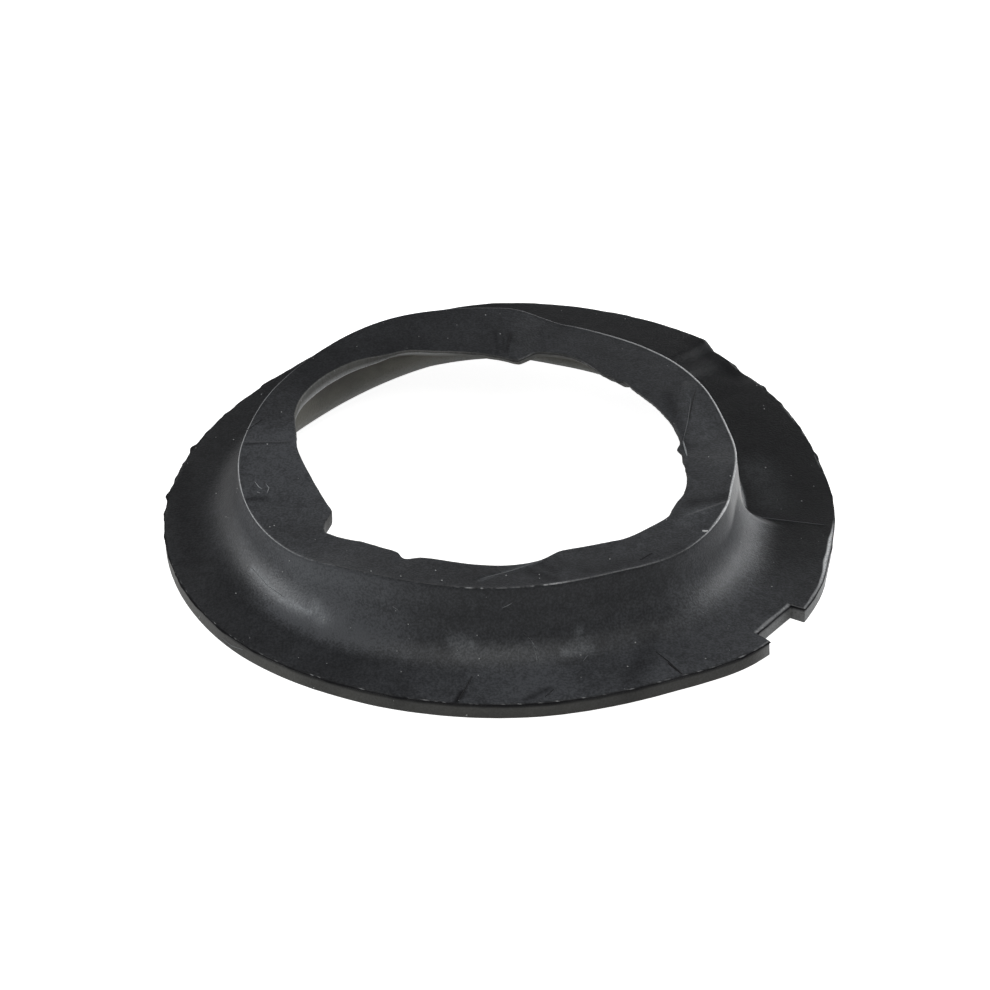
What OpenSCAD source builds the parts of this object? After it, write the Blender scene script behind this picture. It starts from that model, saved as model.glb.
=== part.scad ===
// Upper coil spring pad: one moulding in black rubber, seen with its spring side up.
// A flat flange carries the end turn of the spring, a collar keeps the turn central, and a thin plate
// closes the collar down to a torn hole. The shell is hollow underneath and drops over a seat.
// The origin is on the axis of the rim, at the level of the bearing face under the flange.
// Azimuths run anticlockwise from +X, seen from above.

/* [Flange] */
// Mean radius of the outer rim
rim_r = 70.8; // [67:0.1:90]
// Thickness of the flange at the rim
flange_t = 3.5; // [2.5:0.1:5]
// Height by which the raised stretch of the flange stands above the rest
raise_h = 7; // [0:0.1:8]
// Height of the ramp that leads up to the stop for the spring's cut end
stop_h = 3.3; // [0:0.1:4]

/* [Collar] */
// Mean radius of the sharp edge round the top of the collar
collar_r = 52.4; // [51:0.1:54]
// Height of that edge above the bearing face
collar_h = 17.4; // [16:0.1:26]
// Shift of the collar along X, away from the axis of the rim
collar_shift = -2.5; // [-3:0.1:3]
// Wall of the collar, from the edge in to the locating band
wall_t = 3.9; // [3:0.1:5]
// Slope of the collar's outer wall, in degrees
draft = 8; // [2:0.5:14]
// Radius of the hollow that leads from the flange up to the collar
fillet_r = 9; // [4:0.1:10]
// Radius of the rounded turn below it, inside the shell
foot_r = 10; // [4:0.1:10.5]

/* [Plate] */
// Thickness of the plate that closes the collar
plate_t = 3; // [2:0.1:4]
// Mean width of the plate, from the locating band in to the torn hole
plate_w = 7.5; // [6:0.1:12]
// Thickness of the thin flash left at the back of the hole
flash_t = 0.8; // [0.6:0.1:1.5]
// Height of the swelling in the collar's edge at the back
hump_h = 2.6; // [0:0.1:4]

/* [Locating band] */
// Depth by which the true round band is cut into the moulded wall inside the collar
band_cut = 0.6; // [0.4:0.1:0.8]
// Drop from the underside of the plate to the top of the band
band_drop = 2; // [1.8:0.1:4]

/* [Notch] */
// Azimuth of the notch in the rim
notch_at = 322.4; // [300:0.2:340]
// Width of the notch along the rim
notch_w = 13; // [4:0.5:20]
// Depth of the notch, in from the rim's mean radius
notch_d = 1.8; // [1:0.1:4]
// Slant that is cut along the notch's upper edge
notch_slant = 0.7; // [0.1:0.1:1.5]

/* [Hidden] */

// Sections round the ring, and steps in the arcs of each section
stations = 180;
fillet_steps = 7;
foot_steps = 6;
corner_steps = 2;

// Small radii, bevels and clearances of the section
corner_r = 1.5;
edge_cut = 0.35;
rim_draft = 0.3;
foot_gap = 0.3;
bearing_w = 4;
flash_reach = 2.5;
root_rise = 0.4;
hole_drop = 0.4;
over = 1;
notch_reach = 4;

// Shares of a length: the most height the hollow may take, the way from the rim to the hollow
// at which the flange has a fold, how much of the edge's sag the hole follows, and how tall the
// shoulder is for its width
bend_share = 0.8;
fold_share = 2 / 3;
sag_share = 0.5;
shoulder_share = 0.6;

// Radii inside the collar
band_r = collar_r - wall_t;
inner_r = band_r - band_cut;
hole_r = band_r - plate_w;

// The rubber has relaxed out of round: how far rim and collar stand out, by azimuth
swell = [[0, -1], [14, -1.5], [45, 0], [100, 0], [150, -1.5], [170, -1.5], [185, -0.5], [221, 1],
         [245, 0], [270, -0.5], [297, -0.5], [314, 2], [334, 1], [344, -0.5]];
// Slanted shoulder along the rim's upper edge, wide on the tab beyond the notch: its width, by azimuth
shoulder = [[0, 0.3], [300, 0.3], [316, 0.5], [329, 0.7], [341, 1.2], [351, 1.8], [357, 0.4]];
// Sag of the collar's edge, by azimuth
sag = [[6, -1], [30, 0], [68, -0.5], [145, 0.5], [175, -0.5], [204, -2], [224, -1.5], [242, 0.5],
       [270, 0.5], [300, 0], [350, 0]];
// Torn edge of the hole, from the right round by the back: how far it stands out from hole_r
right_nub = [[3, -0.5], [19, -1], [32, -2], [42, -3], [44, -4], [48, -3]];
back_tongue = [[64, -1], [73, -2], [78, -6], [84, -7], [93, -6], [107, -3.5]];
left_edge = [[123, -0.5], [131, 0.5], [154, 1.5], [175, -0.5], [185, -2.5], [193, -3.5], [203, -3.5]];
left_cut = [[214, -3], [217, -2], [220, 1.5], [223, 3], [233, 2], [245, 1.5], [248, 2.5]];
front_step = [[257, 1.5], [285, 2], [289, 0.5], [293, -1], [302, 1], [317, 3], [338, 2.5], [349, 0.5]];
tear = concat(right_nub, back_tongue, left_edge, left_cut, front_step);

function wrap(a) = a - 360 * floor(a / 360);
function signed(a) = a > 180 ? a - 360 : a;
function ease(u) = let (v = max(0, min(1, u))) v * v * (3 - 2 * v);
function mix(p, q, share) = p + (q - p) * share;
function knot(list, i) =
    let (n = len(list), turn = floor(i / n), p = list[i - n * turn])
    [p[0] + 360 * turn, p[1]];
function slope(list, i) =
    let (p = knot(list, i - 1), q = knot(list, i + 1))
    (q[1] - p[1]) / (q[0] - p[0]);
function below(list, a) = max([for (i = [0 : len(list) - 1]) if (list[i][0] <= a) i, -1]);

// A smooth closed curve through the pairs of azimuth and value
function around(list, azimuth) =
    let (
        a = wrap(azimuth),
        i = below(list, a),
        p = knot(list, i),
        q = knot(list, i + 1),
        w = q[0] - p[0],
        u = (a - p[0]) / w,
        v = 1 - u
    )
    p[1] * (1 + 2 * u) * v * v + q[1] * (1 + 2 * v) * u * u
        + w * u * v * (slope(list, i) * v - slope(list, i + 1) * u);

// The flange climbs slowly at the left, drops in two steps at the stop and runs out down a ramp
climb_from = 148;
climb_to = 84;
stop_at = 50.5;
stop_foot = 47.5;
ramp_top = 40;
ramp_end = -7;
ramp_gain = 0.5;
stop_skew = 5;
function ramp(a) =
    stop_h * (ease((a - ramp_end) / (ramp_top - ramp_end))
              + ramp_gain * ease((a - ramp_top) / (stop_foot - ramp_top)));
function lift(azimuth) =
    let (a = signed(wrap(azimuth)), low = ramp(min(a, stop_foot)))
    a > stop_at ? raise_h * ease((climb_from - a) / (climb_from - climb_to))
                : low + max(0, raise_h - low) * ease((a - stop_foot) / (stop_at - stop_foot));

// The collar's edge swells at the back, and the hole's edge follows it part of the way
hump_from = 71;
hump_rise = 15;
hump_top = 110;
hump_end = 150;
function hump(a) = hump_h * ease((a - hump_from) / hump_rise) * ease((hump_end - a) / (hump_end - hump_top));
function edge_z(a) = collar_h + around(sag, a) + hump(a);
function hole_z(a) = collar_h - hole_drop + sag_share * (around(sag, a) + hump(a));

// The lip of the hole is thick at the left and the front, and thin flash at the back and the right
thick_lip_from = 128;
thick_lip_to = 152;
thick_lip_end = 320;
function lip_t(a) =
    let (
        blend = thick_lip_to - thick_lip_from,
        rise = ease((a - thick_lip_from) / blend),
        fall = ease((thick_lip_end - a) / blend)
    )
    mix(flash_t, plate_t, rise * fall);

// The closed section, from the inner end of the bearing face round by the rim and the collar
function section(a) =
    let (
        h = lift(a),
        h_in = lift(a + stop_skew),
        out = around(swell, a),
        rim = rim_r + out,
        edge = collar_r + out,
        z_edge = edge_z(a),
        z_hole = hole_z(a),
        hole = min(hole_r + around(tear, a), inner_r - corner_r - flash_reach),
        top = h_in + flange_t,
        turn = 90 - draft,
        room = rim - 2 * rim_draft - edge - (z_edge - top) * tan(draft),
        bend = min(fillet_r, bend_share * (z_edge - top), room / sin(turn)),
        wall = z_edge - top - bend * (1 - cos(turn)),
        bend_r = edge + wall * tan(draft) + bend * sin(turn),
        ceiling = min(z_edge, z_hole) - plate_t,
        foot = min(foot_r, ceiling - h_in - corner_r - foot_gap, rim - bearing_w - inner_r),
        lip = lip_t(a),
        slant = around(shoulder, a),
        root = hole + (hole < inner_r - 2 * flash_reach ? flash_reach : flash_reach / 2)
    )
    concat(
        [
            [inner_r + foot, h_in],
            [rim - edge_cut / 2, h],
            [rim, h + edge_cut],
            [rim - rim_draft, h + flange_t - shoulder_share * slant],
            [rim - rim_draft - slant, h + flange_t],
            [mix(rim, bend_r, fold_share), flange_t + mix(h, h_in, fold_share)]
        ],
        [for (i = [0 : fillet_steps]) let (b = turn * i / fillet_steps)
            [bend_r - bend * sin(b), top + bend * (1 - cos(b))]],
        [
            [edge, z_edge - edge_cut],
            [edge - edge_cut, z_edge],
            [(edge + hole) / 2, (z_edge + z_hole) / 2],
            [hole, z_hole],
            [hole, z_hole - lip],
            [root, z_hole - max(lip, plate_t - root_rise)]
        ],
        [for (i = [0 : corner_steps]) let (b = 90 * i / corner_steps)
            [inner_r - corner_r * (1 - sin(b)), ceiling - corner_r * (1 - cos(b))]],
        [for (i = [0 : foot_steps - 1]) let (b = 90 * i / foot_steps)
            [inner_r + foot * (1 - cos(b)), h_in + foot * (1 - sin(b))]]
    );

// How much of the collar's shift a point takes: all of it on the collar, none at the rim
function shift_at(r) = collar_shift * (1 - ease((r - collar_r) / (rim_r - collar_r)));
function placed(p, a) = [shift_at(p[0]) + p[0] * cos(a), p[0] * sin(a), p[1]];

// A closed ring through the sections at every station
module swept_ring() {
    ring = [for (s = [0 : stations - 1]) let (a = 360 * s / stations)
        [for (p = section(a)) placed(p, a)]];
    n = len(ring[0]);
    points = [for (slice = ring) for (p = slice) p];
    faces = [for (s = [0 : stations - 1]) for (i = [0 : n - 1])
        let (t = (s + 1) % stations, j = (i + 1) % n, a = s * n + i, b = s * n + j, c = t * n + j, d = t * n + i)
        each [[a, b, c], [a, c, d]]];
    polyhedron(points = points, faces = faces, convexity = 6);
}

// The round band inside the collar that fits over the seat, open towards the bearing face
band_top = collar_h - hole_drop - plate_t - band_drop;
module locating_band() {
    translate([collar_shift, 0, -over])
        cylinder(r = band_r, h = band_top + over, $fn = stations);
}

// The notch, a straight cut across the rim whose upper edge has a slant
module rim_notch() {
    inner = rim_r - notch_d;
    outer = rim_r + notch_reach;
    top = flange_t + lift(notch_at);
    rotate([90, 0, notch_at])
        linear_extrude(notch_w, center = true)
            polygon([
                [inner, -over], [outer, -over], [outer, top + over],
                [inner - notch_slant - over, top + over], [inner, top - notch_slant]
            ]);
}

module spring_mount() {
    color([0.10, 0.10, 0.11])
        difference() {
            swept_ring();
            locating_band();
            rim_notch();
        }
}

spring_mount();
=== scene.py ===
# %% [markdown]
# # A moulded rubber pad for the upper end of a coil spring
# The pad is one moulding in black rubber. Its construction model is the fixed frame: it is loaded and
# never moved. What this script adds is the skin that a camera sees: torn edges, the bead round the
# collar, soft folds in the plate, the bloom that old rubber gets, scuffs and dust, and painted highlights
# and shade.

import math

import bmesh
import bpy
import numpy as np
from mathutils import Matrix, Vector, noise
from mathutils.bvhtree import BVHTree


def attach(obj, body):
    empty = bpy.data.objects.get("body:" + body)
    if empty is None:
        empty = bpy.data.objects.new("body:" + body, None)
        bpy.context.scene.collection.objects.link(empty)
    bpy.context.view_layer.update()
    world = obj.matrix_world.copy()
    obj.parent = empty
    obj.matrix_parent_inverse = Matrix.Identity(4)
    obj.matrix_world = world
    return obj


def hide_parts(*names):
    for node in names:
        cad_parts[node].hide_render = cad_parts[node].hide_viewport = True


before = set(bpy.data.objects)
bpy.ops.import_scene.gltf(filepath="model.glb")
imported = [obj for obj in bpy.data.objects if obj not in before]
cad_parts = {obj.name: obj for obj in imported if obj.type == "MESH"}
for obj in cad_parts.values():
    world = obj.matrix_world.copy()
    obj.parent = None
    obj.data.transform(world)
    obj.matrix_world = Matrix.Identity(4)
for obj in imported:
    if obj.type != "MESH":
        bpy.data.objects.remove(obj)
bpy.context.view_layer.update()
mm = 0.001

# %% [markdown]
# ## The camera
# The pad was seen from the front, from 34 degrees above the table and from about 0.7 m away. A long lens
# keeps the rings close to true ellipses. The small shift puts the pad where it sat in the picture.

# %% Camera
camera_away = 0.7
camera_elevation = math.radians(34)
lens_mm = 120.85
shift_right = -0.0056
shift_up = 0.0206


def make_camera():
    data = bpy.data.cameras.new("camera")
    data.lens = lens_mm
    data.sensor_width = 36
    data.shift_x = shift_right
    data.shift_y = shift_up
    camera = bpy.data.objects.new("camera", data)
    bpy.context.collection.objects.link(camera)
    camera.location = (0, -camera_away * math.cos(camera_elevation), camera_away * math.sin(camera_elevation))
    camera.rotation_euler = (math.pi / 2 - camera_elevation, 0, 0)
    bpy.context.scene.camera = camera


make_camera()

# %% [markdown]
# ## The sizes of the moulding
# A swept form is easiest to keep true when every ring in it is a named size. These are the sizes of the
# construction model, in millimetres: the flange under the spring, the collar that keeps it central and
# the plate that closes the collar down to the torn hole.

# %% Sizes of the moulding
rim_r, flange_t, raise_h, stop_h = 70.8, 3.5, 7.0, 3.3
collar_r, collar_h, collar_shift = 52.4, 17.4, -2.5
wall_t, draft, fillet_r, foot_r = 3.9, 8.0, 9.0, 10.0
plate_t, plate_w, flash_t, hump_h = 3.0, 7.5, 0.55, 2.6
band_cut, band_drop = 0.6, 2.0
notch_at, notch_w, notch_d, notch_slant = 322.4, 13.0, 1.8, 0.7
shoulder_share = 0.6
corner_r, edge_cut, rim_draft, foot_gap = 1.5, 0.35, 0.3, 0.3
flash_reach, root_rise, hole_drop, least_land = 2.5, 0.4, 0.4, 1.5
sag_share, bend_share = 0.5, 0.8

band_r = collar_r - wall_t
inner_r = band_r - band_cut
hole_r = band_r - plate_w
band_top = collar_h - hole_drop - plate_t - band_drop

# %% [markdown]
# ## Curves that close round the ring
# Old rubber is never quite round. A few pairs of azimuth and offset describe how it has crept, and a
# smooth closed curve is drawn through them. Hermite pieces do this well: they pass through each pair,
# they don't overshoot much, and the last one joins the first.

# %% Curves round the ring
swell = [(0, -1), (14, -1.5), (45, 0), (100, 0), (150, -1.5), (170, -1.5), (185, -0.5), (221, 1),
         (245, 0), (270, -0.5), (297, -0.5), (314, 2), (334, 1), (344, -0.5)]
sag = [(6, -1), (30, 0), (68, -0.5), (145, 0.5), (175, -0.5), (204, -2), (224, -1.5), (242, 0.5),
       (270, 0.5), (300, 0), (350, 0)]
right_nub = [(0, -1.8), (4, -1), (14, -1.3), (24, -2), (36, -2.5), (42, -2), (44, -3), (46, -2.7),
             (50, -2.9)]
back_tongue = [(56, -1.5), (61, -0.5), (66, 0), (71, -0.4), (75, -1.5), (78, -5), (80, -6.7), (84, -6.7),
               (92, -5.3), (107, -3)]
left_edge = [(116, -0.3), (123, 0.7), (131, 2.8), (141, 3.8), (152, 3.4), (161, 2.1), (167, 0.6), (172, -0.4),
             (178, -1.1), (185, -2.2), (193, -3.2), (203, -3.5)]
left_cut = [(210, -3.1), (215, -2.4), (217, -0.8), (219, 1.2), (222, 3), (224, 3.2), (228, 2.5), (234, 1.4),
            (240, 1.3), (245, 1.5), (248, 3), (252, 1.5)]
front_step = [(258, 1.3), (266, 1.7), (276, 2.1), (284, 1.3), (290, -0.5), (293, -0.6), (299, 0), (305, 1),
              (309, 1.9), (318, 2.6), (325, 3.3), (328, 2.7), (332, 2.3), (337, 2.3), (343, 1.5), (349, 0.3),
              (353, -0.6), (357, -0.9)]
tear = right_nub + back_tongue + left_edge + left_cut + front_step


def around(pairs, azimuth):
    """A smooth closed curve through the pairs, read at an array of azimuths in degrees."""
    at = np.array([p[0] for p in pairs], float)
    value = np.array([p[1] for p in pairs], float)
    a = np.mod(azimuth, 360)
    i = np.searchsorted(at, a, side="right") - 1
    n = len(at)

    def knot(k):
        return at[k % n] + 360 * (k // n), value[k % n]

    (a0, v0), (a1, v1) = knot(i), knot(i + 1)
    (ap, vp), (an, vn) = knot(i - 1), knot(i + 2)
    u = (a - a0) / (a1 - a0)
    v = 1 - u
    into, out = (v1 - vp) / (a1 - ap), (vn - v0) / (an - a0)
    smooth = v0 * (1 + 2 * u) * v * v + v1 * (1 + 2 * v) * u * u
    return smooth + (a1 - a0) * u * v * (into * v - out * u)


def ease(u):
    v = np.clip(u, 0, 1)
    return v * v * (3 - 2 * v)


def mix(p, q, share):
    return p + (q - p) * share


# %% [markdown]
# ## The climb, the stop and the ramp
# The wire of a spring ends in a cut face. The flange climbs under the last turn, drops at a stop where
# the cut end sits and runs out down a ramp. A function of the azimuth gives that height everywhere, so
# the upper and the lower face of the flange can both follow it.

# %% Height of the flange
climb_from, climb_to = 148, 84
stop_at, stop_foot = 50.5, 47.5
ramp_top, ramp_end, ramp_gain = 40, -7, 0.5
stop_skew = 5
hump_from, hump_rise, hump_top, hump_end = 71, 15, 110, 150
lip_sizes = [(20, 0.55), (100, 0.55), (112, 0.6), (120, 0.9), (129, 2.2), (144, 3.0), (153, 2.7), (163, 2.0),
             (172, 1.6), (185, 2.4), (200, 3.0), (296, 3.0), (320, 0.55), (350, 0.55)]


def ramp(a):
    first = ease((a - ramp_end) / (ramp_top - ramp_end))
    return stop_h * (first + ramp_gain * ease((a - ramp_top) / (stop_foot - ramp_top)))


def lift(azimuth):
    a = np.mod(azimuth + 180, 360) - 180
    low = ramp(np.minimum(a, stop_foot))
    climb = raise_h * ease((climb_from - a) / (climb_from - climb_to))
    drop = low + np.maximum(0, raise_h - low) * ease((a - stop_foot) / (stop_at - stop_foot))
    return np.where(a > stop_at, climb, drop)


def hump(a):
    return hump_h * ease((a - hump_from) / hump_rise) * ease((hump_end - a) / (hump_end - hump_top))


def edge_height(a):
    return collar_h + around(sag, a) + hump(a)


def hole_height(a):
    return collar_h - hole_drop + sag_share * (around(sag, a) + hump(a))


def lip_thickness(a):
    return np.clip(around(lip_sizes, a), flash_t, plate_t)


# %% [markdown]
# ## Ragged edges
# Moulding flash was torn off the rim and the hole by hand, so both edges are ragged. Seeded noise read
# on a circle gives a wobble that closes on itself: a slow one for the tear and a fine one for its teeth.

# %% Noise that closes round the ring
def wobble(azimuth, teeth, seed):
    """Noise between about -1 and 1, with roughly this many teeth round the ring."""
    radius = teeth / (2 * math.pi)
    turn = np.radians(azimuth)
    return np.array([noise.noise(Vector((radius * math.cos(t), radius * math.sin(t), seed))) for t in turn])


def teeth_only(values, keep):
    """The part of a wobble above a level: isolated teeth with quiet stretches between them."""
    return np.maximum(0, values - keep) / (1 - keep)


# %% [markdown]
# ## Stations round the ring
# The section is drawn at many azimuths. Evenly spaced ones serve everywhere but at the notch in the rim,
# whose two ends are nearly square to it: there a pair of stations stands a hair apart.

# %% Stations
even_stations = 840
notch_half = math.degrees(math.asin(notch_w / 2 / rim_r))
notch_ends = (notch_at - notch_half, notch_at + notch_half)
end_gap = 0.05


def make_stations():
    step = 360 / even_stations
    a = np.arange(even_stations) * step
    for end in notch_ends:
        a = a[np.abs(a - end) > step * 0.6]
    pairs = [end + side * end_gap for end in notch_ends for side in (-1, 1)]
    return np.sort(np.concatenate([a, pairs]))


azimuths = make_stations()
print("stations:", len(azimuths))

# %% [markdown]
# ## The rim
# Seen close, the rim has a plain side, a thin torn line of flash near its top, and a shoulder that is
# wide only on the tab beyond the notch, where the rubber was cut back at a slant.

# %% The rim's radius, flash and shoulder
shoulder = [(0, 0.22), (200, 0.22), (230, 0.3), (300, 0.3), (316, 0.4), (329, 0.5), (338, 0.7), (346, 0.8),
            (352, 0.4), (355, 0.22)]
flash_out = 0.22
frayed_rim = [(10, 1.0), (20, 1.6), (50, 1.6), (75, 0.5), (120, 0.6), (145, 1.9), (200, 1.9), (225, 1.0),
              (260, 0.8), (330, 0.7), (350, 0.3)]
flash_drop = [(10, 0.14), (200, 0.14), (230, 0.25), (330, 0.25), (355, 0.14)]
flash_tall, nub_out = 0.18, 0.7
bevel_wave, least_bevel, least_drop = 0.25, 0.22, 0.12


def in_notch(a):
    return (a > notch_ends[0]) & (a < notch_ends[1])


def rim_radius(a):
    rim = rim_r + around(swell, a)
    cut = (rim_r - notch_d) / np.cos(np.radians(a - notch_at))
    return np.where(in_notch(a), np.minimum(rim, cut), rim)


# %% [markdown]
# ## The section at every station
# The section runs from the bearing face round the rim, over the flange, up the hollow and the wall of
# the collar, over its bead, in across the plate, down the torn lip and back along the inside. Each
# stretch is a small function that gives radii and heights for all stations at once.

# %% One section, zone by zone
ragged = [(5, 0.3), (15, 1), (60, 1), (75, 0.3), (95, 0.6), (120, 0.5), (180, 0.2), (200, 0.5), (222, 1),
          (235, 0.6), (262, 0.2), (290, 0.3), (330, 0.3), (345, 0.8)]
torn_wave, torn_teeth, lip_rough = 0.10, 0.40, 0.12
fold_share = 0.66
tight_corner, small_foot = 0.14, 0.90
corner_from, corner_to = -9.5, -3.5
corner_back, corner_end = 50, 62


def fillet_share(azimuth):
    """The hollow is wide nearly all round, but the ramp meets the collar in a tight corner."""
    a = np.mod(azimuth + 180, 360) - 180
    rise = ease((a - corner_from) / (corner_to - corner_from))
    fall = ease((corner_end - a) / (corner_end - corner_back))
    return mix(1.0, tight_corner, rise * fall)


def foot_share(a):
    """Inside, the turn at the foot is smaller at the left back, where the wall can be seen."""
    return mix(1.0, small_foot, ease((a - 85) / 15) * ease((195 - a) / 20))


def stretch(start, end, shares):
    """Points along a straight stretch between two (radius, height) pairs, at these shares of the way."""
    return [(mix(start[0], end[0], s), mix(start[1], end[1], s)) for s in shares]


def even(count):
    return [i / (count - 1) for i in range(count)]


def make_section(a):
    """A list of (zone, radius, height), each for all stations at once, round the closed profile."""
    rows = []

    def put(zone, points):
        rows.extend((zone, r, z) for r, z in points)

    h, h_in = lift(a), lift(a + stop_skew)
    out = around(swell, a)
    rim, edge = rim_radius(a), collar_r + out
    z_edge, z_hole = edge_height(a), hole_height(a)
    teeth = torn_wave * wobble(a, 90, 3.0) + torn_teeth * teeth_only(wobble(a, 110, 8.0), 0.3)
    torn = teeth * around(ragged, a)
    hole = np.minimum(hole_r + around(tear, a), inner_r - corner_r - least_land) - torn
    turn = math.radians(90 - draft)
    top = h_in + flange_t
    bend = np.minimum(fillet_r, bend_share * (z_edge - top)) * fillet_share(a)
    wall = z_edge - top - bend * (1 - math.cos(turn))
    bend_r = edge + wall * math.tan(math.radians(draft)) + bend * math.sin(turn)
    ceiling = np.minimum(z_edge, z_hole) - plate_t
    foot = np.minimum(foot_r * foot_share(a), ceiling - h_in - corner_r - foot_gap)
    lip = lip_thickness(a)
    root = hole + np.where(hole < inner_r - 2 * flash_reach, flash_reach, flash_reach / 2)
    bevel = np.where(in_notch(a), notch_slant, around(shoulder, a)) + bevel_wave * wobble(a, 110, 5.0)
    bevel = np.maximum(bevel, least_bevel)
    frayed = teeth_only(wobble(a, 150, 1.0), -0.2)
    frays = around(frayed_rim, a)
    nubs = nub_out * frays * teeth_only(wobble(a, 95, 2.0), 0.2)
    rag = flash_out * (0.4 + 0.9 * frayed * frays) + nubs
    z_rim = h + flange_t
    drop = around(flash_drop, a) * (1 + 0.5 * wobble(a, 130, 12.0))
    z_flash = z_rim - np.maximum(np.maximum(drop, least_drop), shoulder_share * bevel)
    fold = (mix(rim, bend_r, fold_share), flange_t + mix(h, h_in, fold_share))

    put("bearing", stretch((inner_r + foot, h_in), (rim - edge_cut, h), (0, 0.4, 0.8, 1)))
    put("side", [(rim - 0.1, h + 0.08), (rim, h + 0.3)])
    put("side", stretch((rim, h + 0.3), (rim - rim_draft * 0.6, z_flash - flash_tall), (0.25, 0.5, 0.75)))
    put("groove", [(rim - rim_draft * 0.6 - 0.08, z_flash - flash_tall)])
    put("flash", [(rim + rag * 0.6, z_flash - 0.08), (rim + rag, z_flash)])
    put("flash", [(rim + rag * 0.3 - 0.1, z_flash + 0.1)])
    put("shoulder", stretch((rim - 0.2, z_flash + 0.1), (rim - bevel, z_rim), (0.35, 0.8)))
    put("flange", stretch((rim - bevel - 0.2, z_rim), fold, even(14)))
    put("flange", stretch(fold, (bend_r, top), even(7)[1:]))
    arc = [turn * share for share in even(17)[1:]]
    put("fillet", [(bend_r - bend * math.sin(b), top + bend * (1 - math.cos(b))) for b in arc])
    foot_of_wall = (bend_r - bend * math.sin(turn), top + bend * (1 - math.cos(turn)))
    put("wall", stretch(foot_of_wall, (edge, z_edge - 0.45), (0.25, 0.5, 0.75, 0.93)))
    put("wall", [(edge + 0.02, z_edge - 0.20)])
    put("bead", [(edge + 0.04, z_edge - 0.11), (edge + 0.01, z_edge), (edge - 0.08, z_edge + 0.05)])
    put("plate", [(edge - 0.2, z_edge + 0.02)])
    put("plate", stretch((edge - 0.45, z_edge - 0.03), (hole + 0.35, z_hole), even(23)))
    rough = lip_rough * wobble(a, 240, 6.0)
    put("lip", [(hole + 0.1, z_hole - 0.04), (hole, z_hole - 0.18), (hole + rough, z_hole - 0.5 * lip),
                (hole - rough, z_hole - 0.85 * lip), (hole + 0.12, z_hole - lip)])
    under = z_hole - np.maximum(lip, plate_t - root_rise)
    put("underside", stretch((root, under), (inner_r - corner_r, ceiling), even(3)))
    corner = np.minimum(corner_r, ceiling - band_top - 0.1)
    arc = [math.pi / 2 * share for share in even(5)[1:]]
    for b in arc:
        put("underside", [(inner_r - corner * (1 - math.sin(b)), ceiling - corner * (1 - math.cos(b)))])
    put("band", [(inner_r + 0 * a, np.full_like(a, band_top + 0.02))])
    put("band", [(band_r + 0 * a, np.full_like(a, band_top))])
    for share in even(10)[:-1]:
        b = math.radians(mix(8, 90, share))
        z = np.minimum(h_in + foot * (1 - math.sin(b)), band_top - 0.1)
        put("foot", [(np.maximum(inner_r + foot * (1 - math.cos(b)), band_r), z)])
    return rows


section = make_section(azimuths)
zones = [zone for zone, r, z in section]
print("points in a section:", len(section), "in zones:", sorted(set(zones)))


# %% [markdown]
# ## Soft folds in the plate
# The plate was cast flat and has taken a set: a few straight folds cross it. Each fold is a line between
# two points in plan, sharp on one side and dying away on the other.

# %% Folds
folds = [
    ((39.2, 25.5), (35.5, 1.0), 0.50, 5.0),
    ((46.5, -20.5), (37.0, -26.0), 0.40, 4.0),
    ((-42.5, 2.5), (-55.0, 2.5), 0.14, 6.0),
    ((-6.0, -49.0), (10.0, -41.0), 0.12, 5.0),
]
fold_edge, fold_end = 0.5, 5


def fold_lift(x, y):
    """Height that the folds add at a plan position, in mm."""
    total = np.zeros_like(x)
    for (x0, y0), (x1, y1), height, fade in folds:
        length = math.hypot(x1 - x0, y1 - y0)
        ux, uy = (x1 - x0) / length, (y1 - y0) / length
        along = (x - x0) * ux + (y - y0) * uy
        across = (x - x0) * -uy + (y - y0) * ux
        window = ease((along + 1.5) / fold_end) * ease((length + 1.5 - along) / fold_end)
        rise = ease(across / fold_edge + 0.5) * np.exp(-np.maximum(0, across) / fade)
        total += height * window * rise
    return total


# %% [markdown]
# ## The skin
# The sections become one closed mesh of quads: each is joined to the next, and the last to the first. The
# zones on the bearing face and inside the shell are listed, because relief and dust stay off them.

# %% Build the closed mesh
hidden_zones = ("bearing", "underside", "band", "foot")


def shift_at(r):
    return collar_shift * (1 - ease((r - collar_r) / (rim_r - collar_r)))


def skin_points():
    """All points as an array: station by place in the section by (x, y, z), in mm."""
    turn = np.radians(azimuths)
    rows = []
    for zone, r, z in section:
        x = shift_at(r) + r * np.cos(turn)
        y = r * np.sin(turn)
        z = z * np.ones_like(x)
        if zone == "plate":
            z = z + fold_lift(x, y)
        rows.append(np.stack([x, y, z], axis=1))
    return np.stack(rows, axis=1)


def skin_quads(stations, count):
    i, j = np.meshgrid(np.arange(stations), np.arange(count), indexing="ij")
    i2, j2 = (i + 1) % stations, (j + 1) % count
    quads = np.stack([i2 * count + j, i2 * count + j2, i * count + j2, i * count + j], axis=-1)
    return quads.reshape(-1, 4)


points = skin_points()
quads = skin_quads(*points.shape[:2])
flat_points = points.reshape(-1, 3)
print("skin:", len(quads), "quads")

# %% [markdown]
# ## From the picture to the surface
# A scuff is placed best where it was seen. A ray from the camera through a place in the picture finds the
# point of the skin that lies there, so the mark sits on the rubber from every side.

# %% Find a point of the skin behind a place in the picture
picture_px = 990
focal_px = lens_mm / 36 * picture_px
centre_px = (picture_px * (0.5 - shift_right), picture_px * (0.5 + shift_up))
eye = Vector((0, -camera_away * math.cos(camera_elevation), camera_away * math.sin(camera_elevation))) / mm
ahead = Vector((0, math.cos(camera_elevation), -math.sin(camera_elevation)))
upward = Vector((0, math.sin(camera_elevation), math.cos(camera_elevation)))
skin_tree = BVHTree.FromPolygons(flat_points.tolist(), quads.tolist())


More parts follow.
